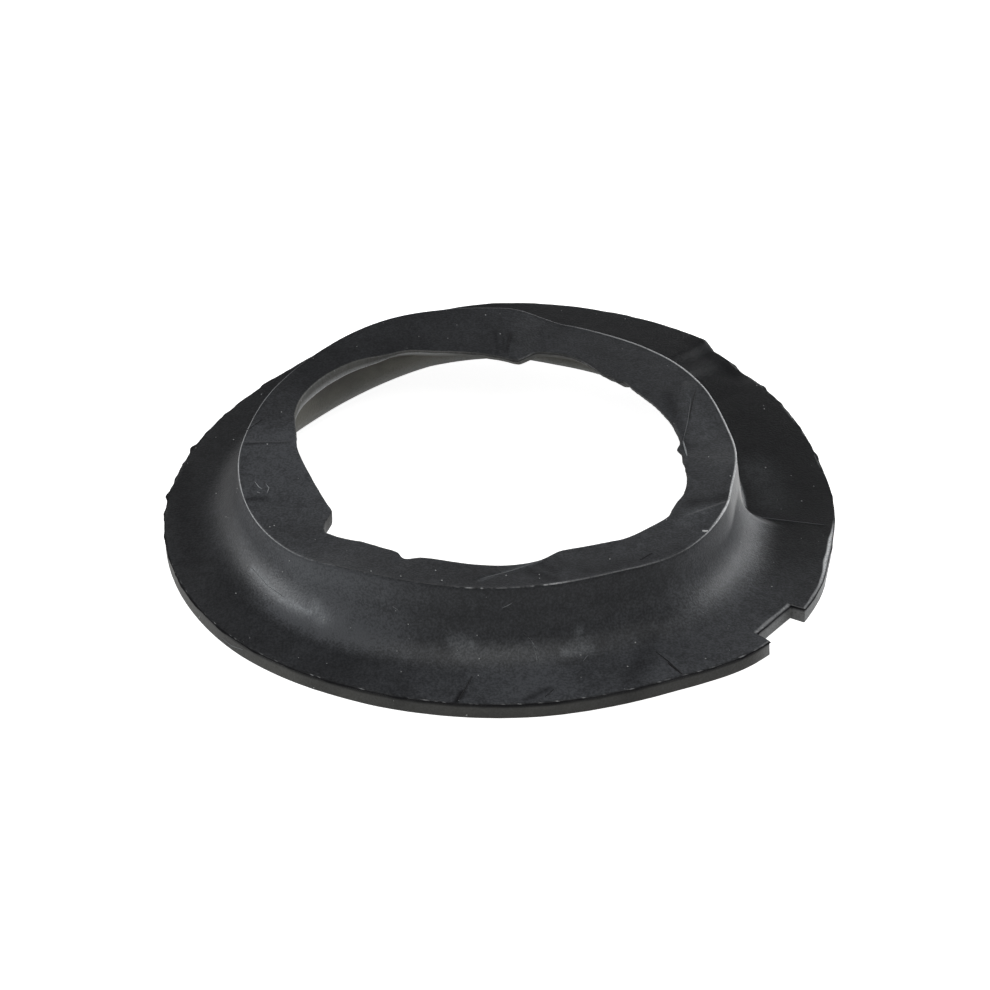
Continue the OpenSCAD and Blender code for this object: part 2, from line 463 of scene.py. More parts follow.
def seen_at(px, py):
    """The skin's point and normal behind a place in the picture, in mm."""
    ray = ahead + upward * ((centre_px[1] - py) / focal_px)
    ray.x = (px - centre_px[0]) / focal_px
    place, normal, index, distance = skin_tree.ray_cast(eye, ray.normalized())
    return place, normal


def seen_line(picture_points, step_px=2.0):
    """Skin points and normals along a line in the picture, close together."""
    found = []
    for (ax, ay), (bx, by) in zip(picture_points, picture_points[1:]):
        count = max(1, round(math.hypot(bx - ax, by - ay) / step_px))
        for i in range(count):
            found.append(seen_at(mix(ax, bx, i / count), mix(ay, by, i / count)))
    found.append(seen_at(*picture_points[-1]))
    return [pair for pair in found if pair[0] is not None]


# %% [markdown]
# ## Where the bloom lies, and where light and shade are painted
# Values are stored on every point of the skin, and the material reads them. Bloom says how grey the surface
# has gone; its curves round the ring also paint light and shade, so the lit fillet at the left and right
# reads lighter and the flange on the right darker. Olive is a brownish tone that also paints the white
# floor's reflection on the rim's side and inside. The painted highlight is a pale colour where edges, the
# bead and the tab catch the light, and the painted gleam is the bright reflection on the collar's right
# wall, which also gets more sheen. Each is a rule for a zone of the section and a curve round the ring.

# %% Bloom, painted light and painted shade by zone and azimuth
# Bloom, with painted shade on the right and back of the flange and a lighter front left.
bloom_and_light_flange = [(0, 0.02), (40, 0.0), (110, 0.02), (150, 0.15), (190, 0.30), (240, 0.40), (270, 0.85),
                (300, 0.95), (318, 0.95), (335, 0.40), (348, 0.1)]
# Bloom with painted highlights, where the fillet catches the lamps at the left front and the right.
bloom_and_highlight_fillet = [(0, 0.8), (60, 0.2), (150, 0.1), (188, 0.3), (204, 0.9), (217, 1.3), (238, 1.6), (262, 0.6),
                (290, 0.5), (325, 0.8)]
bloom_plate = [(0, 0.60), (40, 0.50), (90, 0.38), (140, 0.20), (160, 0.40), (178, 0.95), (200, 0.95),
               (240, 0.50), (275, 0.36), (310, 0.58)]
# Painted highlight: the bright line along the collar's bead.
bead_highlight_curve = [(0, 1.0), (25, 1.0), (45, 0.8), (70, 0.5), (98, 0.3), (106, 0), (140, 0), (152, 0.35), (175, 0.6),
            (205, 0.6), (225, 0.15), (245, 0.04), (262, 0.04), (268, 0.9), (272, 0.4), (283, 0.9), (289, 0.25),
            (305, 0.25), (313, 0.1), (322, 0.4), (335, 1.0)]
# Painted reflection: the collar's right wall and the hollow at its foot gleam pale, and get more sheen.
wall_gleam_curve = [(0, 1.0), (25, 1.0), (45, 0.3), (60, 0), (300, 0), (322, 0.02), (333, 0.2), (342, 0.7),
             (350, 1.0)]
hollow_gleam_curve = [(0, 0.9), (8, 0.5), (20, 0), (330, 0), (340, 0.03), (347, 0.3), (354, 0.9)]
gleam_in_colour = 0.35
# Painted highlight: the bright line on the lip's edge, seen through the hole.
lip_highlight_curve = [(98, 0), (108, 0.7), (125, 1.0), (160, 1.0), (170, 0.9), (175, 0), (185, 0)]
# Painted highlight: the white-lit side and shoulder of the tab.
tab_highlight_curve = [(5, 0), (300, 0), (313, 0), (318, 0.3), (328, 0.35), (334, 0.45), (340, 0.9), (345, 1.0),
           (350, 1.0), (353, 0.2), (355, 0)]
lip_share = [(60, 0.3), (95, 0.4), (110, 1), (165, 1), (176, 0.2), (215, 0.3), (225, 0.6), (240, 0.3)]


def zone_values(rows_of):
    """One value for each station and place in the section, from a rule for each zone."""
    values = np.zeros((len(azimuths), len(zones)), np.float32)
    for j, zone in enumerate(zones):
        if zone in rows_of:
            values[:, j] = rows_of[zone]
    return values


plate_share = around(bloom_plate, azimuths)
flange_bloom_and_light = around(bloom_and_light_flange, azimuths)
wall_bloom_and_highlight = around(bloom_and_highlight_fillet, azimuths)
bloom_and_light = zone_values({"flange": flange_bloom_and_light, "shoulder": flange_bloom_and_light, "fillet": wall_bloom_and_highlight,
                     "wall": wall_bloom_and_highlight, "bead": plate_share, "plate": plate_share, "side": 0.35,
                     "lip": np.clip(around(lip_share, azimuths), 0, 1)})
# Painted reflection over a brownish tone: olive lightens the rim's side and the inside, where the white floor
# is mirrored.
inside_olive_reflection = {"underside": 0.7, "band": 0.8, "foot": 1.0}
olive_and_reflection = zone_values({"side": 0.28, "lip": 0.4 * np.clip(around(lip_share, azimuths), 0, 1), "bearing": 0.3,
                     **inside_olive_reflection})
tab_highlight = np.clip(around(tab_highlight_curve, azimuths), 0, 1)
dots = np.clip(1.6 * teeth_only(wobble(azimuths, 420, 11.0), -0.1), 0, 1)
dotted_part = ease((azimuths - 222) / 6) * ease((286 - azimuths) / 5)
bead_highlight_line = np.clip(around(bead_highlight_curve, azimuths), 0, 1) * mix(1.0, dots, dotted_part)
wall_gleam = np.clip(around(wall_gleam_curve, azimuths), 0, 1)
gleam_and_sheen = zone_values({"wall": wall_gleam})
# Painted highlight on the bead, the tab's side and shoulder, and the gleaming wall.
painted_highlight = zone_values({"bead": bead_highlight_line, "side": 0.8 * tab_highlight, "shoulder": 0.9 * tab_highlight,
                   "wall": gleam_in_colour * wall_gleam})
first_plate = zones.index("plate")
# The bead's painted highlight runs on over the plate's first row at the right.
painted_highlight[:, first_plate] = 0.9 * bead_highlight_line * (ease((azimuths - 322) / 10) + ease((75 - azimuths) / 20))
last_lip = max(j for j, zone in enumerate(zones) if zone == "lip")
# The lip's painted highlight, softer on the row above.
lip_highlight_line = np.clip(around(lip_highlight_curve, azimuths), 0, 1) * (azimuths > 98) * (azimuths < 185)
painted_highlight[:, last_lip] = lip_highlight_line
painted_highlight[:, last_lip - 1] = 0.45 * lip_highlight_line
# Painted glints: light dots along the rim's shoulder at the left and front.
edge_glints = 1.6 * teeth_only(wobble(azimuths, 420, 9.0), 0.2) * ease((azimuths - 190) / 30)
painted_highlight[:, zones.index("shoulder")] = np.maximum(painted_highlight[:, zones.index("shoulder")], np.clip(edge_glints, 0, 0.6))
fillet_rows = [j for j, zone in enumerate(zones) if zone == "fillet"]
hollow_gleam = np.clip(around(hollow_gleam_curve, azimuths), 0, 1)
on_left = ease((azimuths - 160) / 15) * ease((225 - azimuths) / 15)
for i, j in enumerate(fillet_rows):
    share = ease(i / 6)
    bloom_and_light[:, j] = mix(flange_bloom_and_light, wall_bloom_and_highlight, share * mix(1.0, ease((i - 4) / 7), on_left))
    # Painted gleam on the upper rows of the hollow.
    gleam_and_sheen[:, j] = hollow_gleam * ease((i - 3) / 9)
    painted_highlight[:, j] = gleam_in_colour * gleam_and_sheen[:, j]
# Painted reflection: the inside foot grows paler towards its lower rows, seen at a grazing angle.
foot_rows = [j for j, zone in enumerate(zones) if zone == "foot"]
for i, j in enumerate(foot_rows):
    painted_highlight[:, j] = 0.05 + 0.45 * ease(i / 4)

# %% [markdown]
# Scuffs and stains are soft strokes, and so is some painted light: a pale stroke paints the soft glow on the
# ramp beside the collar, and dark strokes paint the shade on the raised step at the back right and along
# the small step in the plate. Each is a short line in the picture with a width in millimetres on the
# rubber; a point takes the stroke's strength by its distance to the line.

# %% Strokes of scuff, stain, painted glow and painted shade
pale_and_glow_strokes = [
    ([(252, 568), (282, 600), (310, 612)], 1.2, 0.95),
    ([(256, 574), (300, 606)], 3.2, 0.25),
    ([(315, 606), (322, 618)], 2.8, 0.55),
    ([(300, 572), (375, 594)], 5.5, 0.20),
    ([(472, 590), (473, 630)], 1.5, 0.08),
    ([(455, 640), (471, 645)], 3.0, 0.40),
    ([(459, 651), (471, 655)], 3.0, 0.28),
    ([(564, 652), (589, 649)], 2.2, 0.50),
    ([(572, 646), (587, 642)], 2.0, 0.35),
    ([(480, 580), (540, 561)], 0.8, 0.35),
    ([(579, 630), (577, 645)], 1.6, 0.25),
    ([(480, 655), (560, 652)], 4.0, 0.14),
    ([(534, 646), (539, 660)], 1.2, 0.3),
    ([(690, 520), (712, 500)], 4.0, 0.15),
    ([(690, 395), (722, 470)], 5.0, 0.10),
    # Painted highlight: the soft glow on the ramp beside the collar.
    ([(757, 470), (772, 498)], 8.0, 0.12),
]
dark_and_shade_strokes = [
    ([(456, 702), (462, 692)], 1.1, 0.9),
    ([(525, 700), (550, 688)], 1.3, 0.6),
    ([(694, 503), (728, 496)], 3.2, 0.5),
    ([(532, 572), (553, 579)], 2.6, 0.5),
    ([(542, 565), (556, 571)], 2.4, 0.4),
    ([(246, 500), (264, 498)], 1.8, 0.5),
    ([(498, 354), (495, 332)], 0.8, 0.35),
    ([(506, 353), (511, 334)], 0.9, 0.40),
    ([(502, 350), (504, 338)], 0.7, 0.30),
    # Painted shade on the raised step at the back right.
    ([(690, 342), (712, 338)], 3.0, 0.6),
    ([(650, 640), (630, 690)], 4.0, 0.35),
    ([(180, 470), (190, 560)], 5.0, 0.35),
    ([(246, 444), (290, 442)], 0.9, 0.5),
    # Painted shade on the riser of the raised step.
    ([(706, 350), (735, 374)], 4.5, 0.95),
    ([(560, 562), (590, 572)], 3.0, 0.2),
    ([(610, 568), (680, 548)], 3.0, 0.2),
    # Painted shade along the small step in the plate.
    ([(668, 395), (686, 450)], 2.2, 0.35),
]


def distance_to(start, end):
    """Distance of every skin point to a short straight line on the skin, in mm."""
    start, end = np.array(start), np.array(end)
    along = end - start
    share = np.clip((flat_points - start) @ along / max(along @ along, 1e-9), 0, 1)
    return np.linalg.norm(flat_points - start - share[:, None] * along, axis=1)


def paint(strokes):
    values = np.zeros(len(flat_points))
    for picture_points, width, strength in strokes:
        line = [place for place, normal in seen_line(picture_points, 6.0)]
        near = np.min([distance_to(a, b) for a, b in zip(line, line[1:])], axis=0)
        values = np.maximum(values, strength * (1 - ease(near / width)))
    return values.reshape(points.shape[:2]).astype(np.float32)


scuff_and_glow, stain_and_shade = paint(pale_and_glow_strokes), paint(dark_and_shade_strokes)
# Painted shade: a dark line in the groove under the flash, and a darker shoulder.
groove_shade_line = np.clip(0.75 + 0.5 * wobble(azimuths, 60, 4.0), 0, 1)
rim_painted_shade = zone_values({"groove": groove_shade_line, "flash": groove_shade_line, "shoulder": 0.4})
stain_and_shade = np.maximum(stain_and_shade, rim_painted_shade)
print("points with scuff or stain:", int((scuff_and_glow > 0.02).sum()), int((stain_and_shade > 0.02).sum()))

# %% Make the mesh with its values
skin = zone_values({zone: 1.0 for zone in set(zones) if zone not in hidden_zones})


def make_skin(name):
    mesh = bpy.data.meshes.new(name)
    mesh.from_pydata((flat_points * mm).tolist(), [], quads.tolist())
    mesh.update()
    named = {"skin": skin, "bloom_and_light": bloom_and_light, "olive_and_reflection": olive_and_reflection, "painted_highlight": painted_highlight, "gleam_and_sheen": gleam_and_sheen, "scuff_and_glow": scuff_and_glow,
             "stain_and_shade": stain_and_shade}
    for key, values in named.items():
        layer = mesh.attributes.new(key, "FLOAT", "POINT")
        layer.data.foreach_set("value", np.ascontiguousarray(values, np.float32).ravel())
    mesh.polygons.foreach_set("use_smooth", [True] * len(mesh.polygons))
    mesh.set_sharp_from_angle(angle=math.radians(50))
    return mesh


pad = bpy.data.objects.new("spring_pad", make_skin("spring_pad"))
bpy.context.collection.objects.link(pad)


# %% [markdown]
# ## Materials: black rubber with a bloom
# Rubber is dark, a little blue where daylight falls on it, and it carries a grey bloom that gathers in
# cloudy patches. A principled shader gives the body, noise mixes the bloom in, another noise varies the
# roughness, and a fine bump gives the moulded grain. The painted gleam adds sheen, painted highlights mix
# in a pale colour, and stains and painted shade darken the colour and take the gloss away.

# %% Helpers for materials
def new_material(name):
    material = bpy.data.materials.new(name)
    material.use_nodes = True
    material.node_tree.nodes.clear()
    return material


def add(tree, kind, **values):
    node = tree.nodes.new(kind)
    for key, value in values.items():
        setattr(node, key, value)
    return node


def ramp_between(tree, source, low, high):
    """Maps a value from low..high to 0..1, smoothly."""
    node = add(tree, "ShaderNodeMapRange", interpolation_type="SMOOTHSTEP")
    node.inputs["From Min"].default_value = low
    node.inputs["From Max"].default_value = high
    tree.links.new(source, node.inputs["Value"])
    return node.outputs["Result"]


def blend_colour(tree, share, first, second):
    node = add(tree, "ShaderNodeMix", data_type="RGBA")
    tree.links.new(share, node.inputs["Factor"])
    for socket, colour in ((node.inputs["A"], first), (node.inputs["B"], second)):
        if isinstance(colour, tuple):
            socket.default_value = (*colour, 1)
        else:
            tree.links.new(colour, socket)
    return node.outputs["Result"]


def noise_at(tree, coords, scale, detail=4.0, rough=0.55):
    node = add(tree, "ShaderNodeTexNoise")
    node.inputs["Scale"].default_value = scale
    node.inputs["Detail"].default_value = detail
    node.inputs["Roughness"].default_value = rough
    tree.links.new(coords, node.inputs["Vector"])
    return node.outputs["Fac"]


def value_of(tree, name):
    """A value stored on the mesh's points."""
    return add(tree, "ShaderNodeAttribute", attribute_name=name).outputs["Fac"]


def math_of(tree, operation, first, second):
    node = add(tree, "ShaderNodeMath", operation=operation)
    for socket, value in zip(node.inputs, (first, second)):
        if isinstance(value, (int, float)):
            socket.default_value = value
        else:
            tree.links.new(value, socket)
    return node.outputs[0]


def scaled(tree, value, factor, offset):
    """A value times a factor plus an offset."""
    result = math_of(tree, "MULTIPLY_ADD", value, factor)
    result.node.inputs[2].default_value = offset
    return result


# %% Rubber
rubber_clean = (0.0060, 0.0063, 0.0072)
rubber_grey = (0.0125, 0.0130, 0.0145)
rubber_bloom_and_light = (0.056, 0.059, 0.065)
rubber_olive_and_reflection = (0.17, 0.165, 0.14)
rubber_scuff_and_glow = (0.16, 0.17, 0.18)
rubber_highlight = (0.55, 0.56, 0.57)
rubber_stain_and_shade = (0.006, 0.006, 0.007)
cloud_scale, mottle_scale, grain_scale, dot_scale = 60, 520, 2200, 2600
bloom_strength = 1.45
gloss_level, gloss_lost = 0.32, 0.26
sheen_least, sheen_in_gleam = 0.05, 0.95
roughness_from, roughness_to = 0.36, 0.52
grain_depth, grain_strength = 0.0001, 0.25


def rubber_colour(tree, coords):
    clouds = ramp_between(tree, noise_at(tree, coords, cloud_scale, 5, 0.6), 0.30, 0.72)
    mottle = ramp_between(tree, noise_at(tree, coords, mottle_scale, 4, 0.6), 0.36, 0.68)
    grain = ramp_between(tree, noise_at(tree, coords, grain_scale, 2, 0.6), 0.35, 0.70)
    cloudy = scaled(tree, clouds, 0.5, 0.5)
    speckle = scaled(tree, mottle, 0.28, 0.66)
    fine = scaled(tree, grain, 0.8, 0.6)
    share = math_of(tree, "MULTIPLY", math_of(tree, "MULTIPLY", cloudy, speckle), fine)
    share = math_of(tree, "MULTIPLY", share, bloom_strength)
    body = blend_colour(tree, grain, rubber_clean, rubber_grey)
    # Bloom, with the painted light and shade that its curves carry.
    base = blend_colour(tree, math_of(tree, "MULTIPLY", share, value_of(tree, "bloom_and_light")), body, rubber_bloom_and_light)
    # Olive tone, with the painted reflection of the white floor.
    base = blend_colour(tree, math_of(tree, "MULTIPLY", cloudy, value_of(tree, "olive_and_reflection")), base, rubber_olive_and_reflection)
    base = blend_colour(tree, math_of(tree, "MULTIPLY", share, value_of(tree, "scuff_and_glow")), base, rubber_scuff_and_glow)
    # Stains and painted shade darken the colour.
    base = blend_colour(tree, value_of(tree, "stain_and_shade"), base, rubber_stain_and_shade)
    dotted = ramp_between(tree, noise_at(tree, coords, dot_scale, 2, 0.5), 0.05, 0.60)
    # Painted highlight: a pale colour mixed in where edges catch the light.
    highlight_share = math_of(tree, "MULTIPLY", dotted, value_of(tree, "painted_highlight"))
    return blend_colour(tree, highlight_share, base, rubber_highlight), grain


def make_rubber():
    material = new_material("rubber")
    tree = material.node_tree
    coords = add(tree, "ShaderNodeTexCoord").outputs["Object"]
    base, grain = rubber_colour(tree, coords)
    shader = add(tree, "ShaderNodeBsdfPrincipled")
    gloss = scaled(tree, value_of(tree, "stain_and_shade"), -gloss_lost, gloss_level)
    tree.links.new(gloss, shader.inputs["Specular IOR Level"])
    sheen = scaled(tree, value_of(tree, "gleam_and_sheen"), sheen_in_gleam, sheen_least)
    tree.links.new(sheen, shader.inputs["Sheen Weight"])
    shader.inputs["Sheen Roughness"].default_value = 0.35
    tree.links.new(base, shader.inputs["Base Color"])
    rough = add(tree, "ShaderNodeMapRange")
    rough.inputs["To Min"].default_value = roughness_from
    rough.inputs["To Max"].default_value = roughness_to
    tree.links.new(noise_at(tree, coords, 130, 4, 0.6), rough.inputs["Value"])
    tree.links.new(rough.outputs["Result"], shader.inputs["Roughness"])
    bump = add(tree, "ShaderNodeBump")
    bump.inputs["Strength"].default_value = grain_strength
    bump.inputs["Distance"].default_value = grain_depth
    tree.links.new(grain, bump.inputs["Height"])
    tree.links.new(bump.outputs["Normal"], shader.inputs["Normal"])
    output = add(tree, "ShaderNodeOutputMaterial")
    tree.links.new(shader.outputs["BSDF"], output.inputs["Surface"])
    return material


rubber = make_rubber()
pad.data.materials.append(rubber)

# %% [markdown]
# ## Relief by Geometry Nodes
# A moulding that has been pressed between steel parts is never quite smooth. Relief that follows a rule is
# work for Geometry Nodes: noise pushes each point along its normal, and the stored skin value keeps the
# hidden bearing face and the inside flat. The sizes are named inputs, so they're easy to try.

# %% Helpers for node trees
def new_geometry_tree(name, sizes):
    """A geometry tree with its geometry sockets and one named input for each size."""
    tree = bpy.data.node_groups.new(name, "GeometryNodeTree")
    tree.interface.new_socket("Geometry", in_out="INPUT", socket_type="NodeSocketGeometry")
    tree.interface.new_socket("Geometry", in_out="OUTPUT", socket_type="NodeSocketGeometry")
    for label, value in sizes.items():
        kind = "NodeSocketInt" if isinstance(value, int) else "NodeSocketFloat"
        tree.interface.new_socket(label, in_out="INPUT", socket_type=kind)
    return tree, add(tree, "NodeGroupInput"), add(tree, "NodeGroupOutput")


def finish_tree(tree, geometry, material, output):
    realize = add(tree, "GeometryNodeRealizeInstances")
    paint_node = add(tree, "GeometryNodeSetMaterial")
    paint_node.inputs["Material"].default_value = material
    tree.links.new(geometry, realize.inputs["Geometry"])
    tree.links.new(realize.outputs["Geometry"], paint_node.inputs["Geometry"])
    tree.links.new(paint_node.outputs["Geometry"], output.inputs["Geometry"])


def apply_tree(piece, tree, sizes):
    """Run the tree on the piece and keep the result as its plain mesh."""
    modifier = piece.modifiers.new(tree.name, "NODES")
    modifier.node_group = tree
    for item in tree.interface.items_tree:
        if item.in_out == "INPUT" and item.name in sizes:
            modifier[item.identifier] = sizes[item.name]
    seen = piece.evaluated_get(bpy.context.evaluated_depsgraph_get())
    mesh = bpy.data.meshes.new_from_object(seen)
    piece.modifiers.clear()
    piece.data = mesh
    mesh.name = piece.name


# %% Relief on the skin
relief_sizes = {"Broad depth": 0.00018, "Broad scale": 110.0, "Fine depth": 0.00005, "Fine scale": 650.0}


def noise_push(tree, where, scale, depth):
    """Noise about zero times a depth, at a position."""
    wave = add(tree, "ShaderNodeTexNoise")
    wave.inputs["Detail"].default_value = 3
    tree.links.new(where, wave.inputs["Vector"])
    tree.links.new(scale, wave.inputs["Scale"])
    centred = math_of(tree, "SUBTRACT", wave.outputs["Fac"], 0.5)
    return math_of(tree, "MULTIPLY", centred, depth)


def make_relief_tree():
    tree, given, output = new_geometry_tree("relief", relief_sizes)
    where = add(tree, "GeometryNodeInputPosition").outputs["Position"]
    broad = noise_push(tree, where, given.outputs["Broad scale"], given.outputs["Broad depth"])
    fine = noise_push(tree, where, given.outputs["Fine scale"], given.outputs["Fine depth"])
    limit = add(tree, "GeometryNodeInputNamedAttribute", data_type="FLOAT")
    limit.inputs["Name"].default_value = "skin"
    push = math_of(tree, "MULTIPLY", math_of(tree, "ADD", broad, fine), limit.outputs["Attribute"])
    along = add(tree, "ShaderNodeVectorMath", operation="SCALE")
    tree.links.new(add(tree, "GeometryNodeInputNormal").outputs["Normal"], along.inputs[0])
    tree.links.new(push, along.inputs["Scale"])
    move = add(tree, "GeometryNodeSetPosition")
    tree.links.new(given.outputs["Geometry"], move.inputs["Geometry"])
    tree.links.new(along.outputs[0], move.inputs["Offset"])
    finish_tree(tree, move.outputs["Geometry"], rubber, output)
    return tree


apply_tree(pad, make_relief_tree(), relief_sizes)
relief_points = [vertex.co / mm for vertex in pad.data.vertices]
skin_tree = BVHTree.FromPolygons(relief_points, [face.vertices for face in pad.data.polygons])
print("pad after relief:", len(pad.data.polygons), "faces")

# %% [markdown]
# ## Dust
# Pale specks lie all over the pad. Points are scattered on the skin, a tiny stone is set on each, and a
# random scale keeps them from looking alike. The seed is fixed, so every run gives the same dust.

# %% Dust on the skin
dust_sizes = {"Density": 11000.0, "Radius": 0.00010, "Least": 0.5, "Most": 1.8, "Seed": 7}
dust_colour = (0.45, 0.46, 0.46)


def plain_material(name, colour, roughness):
    """Colour with a fine noise in it, for pieces a fraction of a millimetre wide."""
    material = new_material(name)
    tree = material.node_tree
    coords = add(tree, "ShaderNodeTexCoord").outputs["Object"]
    shader = add(tree, "ShaderNodeBsdfPrincipled")
    shader.inputs["Roughness"].default_value = roughness
    darker = tuple(0.6 * c for c in colour)
    mottled = blend_colour(tree, noise_at(tree, coords, 3000, 2), darker, colour)
    tree.links.new(mottled, shader.inputs["Base Color"])
    output = add(tree, "ShaderNodeOutputMaterial")
    tree.links.new(shader.outputs["BSDF"], output.inputs["Surface"])
    return material


def make_dust_tree():
    tree, given, output = new_geometry_tree("dust", dust_sizes)
    limit = add(tree, "GeometryNodeInputNamedAttribute", data_type="FLOAT")
    limit.inputs["Name"].default_value = "skin"
    chosen = math_of(tree, "GREATER_THAN", limit.outputs["Attribute"], 0.9)
    scatter = add(tree, "GeometryNodeDistributePointsOnFaces")
    tree.links.new(given.outputs["Geometry"], scatter.inputs["Mesh"])
    tree.links.new(chosen, scatter.inputs["Selection"])
    tree.links.new(given.outputs["Density"], scatter.inputs["Density"])
    tree.links.new(given.outputs["Seed"], scatter.inputs["Seed"])
    stone = add(tree, "GeometryNodeMeshIcoSphere")
    tree.links.new(given.outputs["Radius"], stone.inputs["Radius"])
    scale = add(tree, "FunctionNodeRandomValue", data_type="FLOAT")
    tree.links.new(given.outputs["Least"], scale.inputs[2])
    tree.links.new(given.outputs["Most"], scale.inputs[3])
    tree.links.new(given.outputs["Seed"], scale.inputs["Seed"])
    place = add(tree, "GeometryNodeInstanceOnPoints")
    tree.links.new(scatter.outputs["Points"], place.inputs["Points"])
    tree.links.new(stone.outputs["Mesh"], place.inputs["Instance"])
    tree.links.new(scale.outputs[1], place.inputs["Scale"])
    finish_tree(tree, place.outputs["Instances"], plain_material("dust", dust_colour, 0.8), output)
    return tree


dust = bpy.data.objects.new("dust", pad.data.copy())
bpy.context.collection.objects.link(dust)
apply_tree(dust, make_dust_tree(), dust_sizes)
print("dust:", len(dust.data.polygons), "faces")

# %% [markdown]
# ## Scratches, painted shade and lint
# A scratch is thinner than the skin's faces, so each is a sliver of its own that follows the surface. It
# starts as a line in the picture, finds the skin point by point, and gets a low closed section. The pale
# slivers are scratches, with two painted highlights on edges among them, and the dark slivers paint the
# shade inside grooves and folds.

# %% Slivers that follow the skin
pale_marks_and_glint = [
    ([(502, 608), (507, 606), (512, 603)], 0.07),
    ([(523, 633), (531, 640), (537, 650), (540, 663)], 0.05),
    ([(480, 579), (510, 571), (543, 560)], 0.08),
    ([(255, 482), (259, 487), (262, 489)], 0.10),
    ([(266, 484), (269, 488), (267, 493)], 0.09),
    ([(257, 492), (260, 493)], 0.12),
    ([(691, 398), (688, 420), (683, 441)], 0.05),
    ([(222, 638), (232, 646), (243, 650)], 0.07),
    ([(392, 606), (398, 610)], 0.06),
    ([(588, 655), (583, 661)], 0.06),
    ([(252, 568), (268, 586), (284, 597)], 0.09),
    # Painted highlights: a light line on the ramp's edge, and one on the small step at the nub.
    ([(757, 517), (790, 521), (824, 525)], 0.035),
    ([(683, 441), (685, 448), (687, 456)], 0.20),
    ([(533, 646), (536, 655), (537, 662)], 0.05),
]
# Painted shade: dark slivers where grooves and folds lie in shadow.
scratch_shadow_marks = [
    ([(656, 652), (668, 661), (680, 672)], 0.10),
    ([(668, 663), (682, 674)], 0.24),
    ([(696, 389), (692, 405), (689, 420)], 0.08),
    ([(457, 702), (464, 691), (472, 676)], 0.12),
    ([(545, 697), (554, 689)], 0.10),
    ([(640, 560), (652, 553)], 0.10),
    ([(246, 431), (262, 420)], 0.05),
    ([(506, 350), (511, 334)], 0.06),
]
lint = [([(702.5, 531), (708, 531)], 0.26)]


def sliver(picture_points, half_width, height):
    """Points and faces of one closed sliver on the skin, in mm."""
    line = seen_line(picture_points)
    points, faces = [], []
    for i, (place, normal) in enumerate(line):
        along = line[min(i + 1, len(line) - 1)][0] - line[max(i - 1, 0)][0]
        side = normal.cross(along).normalized()
        swell_here = max(0.15, math.sin(math.pi * (i + 0.5) / len(line)) ** 0.5)
        reach = side * half_width * swell_here
        rise = normal * height
        points += [place + reach, place + rise, place - reach, place - rise]
    for i in range(len(line) - 1):
        for k in range(4):
            a, b = 4 * i + k, 4 * i + (k + 1) % 4
            faces.append((a, b, b + 4, a + 4))
    last = 4 * (len(line) - 1)
    faces += [(3, 2, 1, 0), (last, last + 1, last + 2, last + 3)]
    return points, faces


def make_slivers(name, marks, height, material):
    points, faces = [], []
    for picture_points, half_width in marks:
        some_points, some_faces = sliver(picture_points, half_width, height)
        faces += [tuple(k + len(points) for k in face) for face in some_faces]
        points += some_points
    mesh = bpy.data.meshes.new(name)
    mesh.from_pydata([tuple(p * mm) for p in points], [], faces)
    shape = bmesh.new()
    shape.from_mesh(mesh)
    bmesh.ops.recalc_face_normals(shape, faces=shape.faces)
    shape.to_mesh(mesh)
    shape.free()
    mesh.materials.append(material)
    piece = bpy.data.objects.new(name, mesh)
    bpy.context.collection.objects.link(piece)
    return piece


pale_and_glint = plain_material("pale_scratch_and_glint", (0.20, 0.21, 0.22), 0.7)
scratch_shadow_material = plain_material("groove_shadow", (0.006, 0.006, 0.007), 0.9)
fluff = plain_material("lint", (0.70, 0.71, 0.72), 0.9)
scratches_and_glint = make_slivers("pale_scratches_and_glint", pale_marks_and_glint, 0.12, pale_and_glint)
scratch_shadow_piece = make_slivers("groove_shadows", scratch_shadow_marks, 0.12, scratch_shadow_material)
thread = make_slivers("lint", lint, 0.22, fluff)
small_pieces = [dust, scratches_and_glint, scratch_shadow_piece, thread]
print("small pieces:", [(piece.name, len(piece.data.polygons)) for piece in small_pieces])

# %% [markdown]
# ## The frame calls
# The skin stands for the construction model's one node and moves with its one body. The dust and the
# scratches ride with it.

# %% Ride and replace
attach(pad, "root")
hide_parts("spring_mount")
for piece in small_pieces:
    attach(piece, "root")

# %% [markdown]
# ## Floor and light
# A plain pale floor catches the pad's shadow. Camera rays see it brighter than it is, so it reads as white
# paper without any more light on the rubber. A soft lamp hangs over the front, one stands low at each
# side, and a small one at the back right draws the bright edges.

# %% Floor
floor_glow_seen, floor_glow_mirrored = 0.90, 0.15


def make_floor():
    side = 3.0
    mesh = bpy.data.meshes.new("floor")
    corners = [(-side, -side, 0), (side, -side, 0), (side, side, 0), (-side, side, 0)]
    mesh.from_pydata(corners, [], [(0, 1, 2, 3)])
    floor = bpy.data.objects.new("floor", mesh)
    bpy.context.collection.objects.link(floor)
    material = new_material("floor_paper")
    tree = material.node_tree
    paper = add(tree, "ShaderNodeBsdfDiffuse")
    paper.inputs["Color"].default_value = (0.8, 0.8, 0.8, 1)
    glow = add(tree, "ShaderNodeEmission")
    path = add(tree, "ShaderNodeLightPath")
    direct = math_of(tree, "MULTIPLY", path.outputs["Is Camera Ray"], floor_glow_seen)
    mirrored = math_of(tree, "MULTIPLY", path.outputs["Is Glossy Ray"], floor_glow_mirrored)
    tree.links.new(math_of(tree, "ADD", direct, mirrored), glow.inputs["Strength"])
    both = add(tree, "ShaderNodeAddShader")
    tree.links.new(paper.outputs[0], both.inputs[0])
    tree.links.new(glow.outputs[0], both.inputs[1])
    output = add(tree, "ShaderNodeOutputMaterial")
    tree.links.new(both.outputs[0], output.inputs["Surface"])
    mesh.materials.append(material)


make_floor()


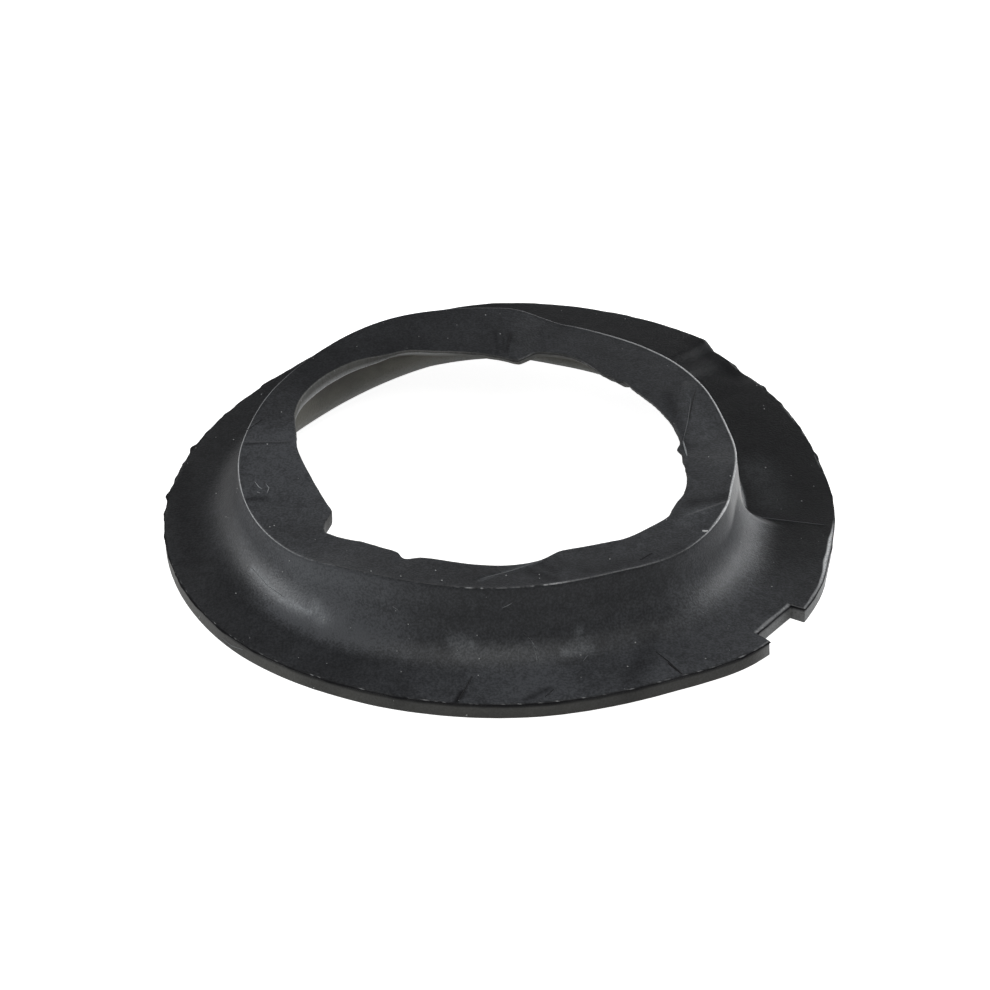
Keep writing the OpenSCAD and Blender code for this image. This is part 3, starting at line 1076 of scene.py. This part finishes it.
# %% Lamps and world
def soft_lamp(name, azimuth, elevation, away, size, watts, colour):
    """A square lamp that looks at the origin. Azimuth runs anticlockwise from +X, in degrees."""
    data = bpy.data.lights.new(name, "AREA")
    data.size = size
    data.energy = watts
    data.color = colour
    lamp = bpy.data.objects.new(name, data)
    bpy.context.collection.objects.link(lamp)
    a, e = math.radians(azimuth), math.radians(elevation)
    place = Vector((math.cos(a) * math.cos(e), math.sin(a) * math.cos(e), math.sin(e))) * away
    lamp.location = place
    lamp.rotation_euler = place.to_track_quat("Z", "Y").to_euler()


cool, warm = (0.97, 0.985, 1.0), (1.0, 0.99, 0.97)
soft_lamp("lamp_top", 270, 72, 1.2, 0.9, 5.0, warm)
soft_lamp("lamp_right", 20, 22, 1.0, 0.45, 4.4, cool)
soft_lamp("lamp_back_right", 55, 10, 0.9, 0.3, 1.0, cool)
soft_lamp("lamp_left", 176, 18, 1.0, 0.5, 5.6, cool)

# %% [markdown]
# The world stands for the rest of the studio. Camera rays see white. What the rubber mirrors is a white
# sweep near the floor and a dim room above it, which is why the edges gleam while the tops stay dark.

# %% World
room_light, sweep_light, room_mirrored = 0.35, 1.1, 0.12
sweep_low, sweep_high = 0.08, 0.34


def make_world():
    world = bpy.data.worlds.new("studio")
    world.use_nodes = True
    tree = world.node_tree
    tree.nodes.clear()
    path = add(tree, "ShaderNodeLightPath")
    height = add(tree, "ShaderNodeSeparateXYZ")
    tree.links.new(add(tree, "ShaderNodeTexCoord").outputs["Generated"], height.inputs[0])
    above = ramp_between(tree, height.outputs["Z"], sweep_low, sweep_high)
    mirrored = add(tree, "ShaderNodeMix", data_type="FLOAT")
    mirrored.inputs["A"].default_value = sweep_light
    mirrored.inputs["B"].default_value = room_mirrored
    tree.links.new(above, mirrored.inputs["Factor"])
    lit = add(tree, "ShaderNodeMix", data_type="FLOAT")
    lit.inputs["A"].default_value = room_light
    tree.links.new(mirrored.outputs["Result"], lit.inputs["B"])
    tree.links.new(path.outputs["Is Glossy Ray"], lit.inputs["Factor"])
    seen = add(tree, "ShaderNodeMix", data_type="FLOAT")
    seen.inputs["B"].default_value = 1.0
    tree.links.new(lit.outputs["Result"], seen.inputs["A"])
    tree.links.new(path.outputs["Is Camera Ray"], seen.inputs["Factor"])
    light = add(tree, "ShaderNodeBackground")
    tree.links.new(seen.outputs["Result"], light.inputs["Strength"])
    output = add(tree, "ShaderNodeOutputWorld")
    tree.links.new(light.outputs[0], output.inputs["Surface"])
    bpy.context.scene.world = world


make_world()
bpy.context.scene.view_settings.view_transform = "Standard"
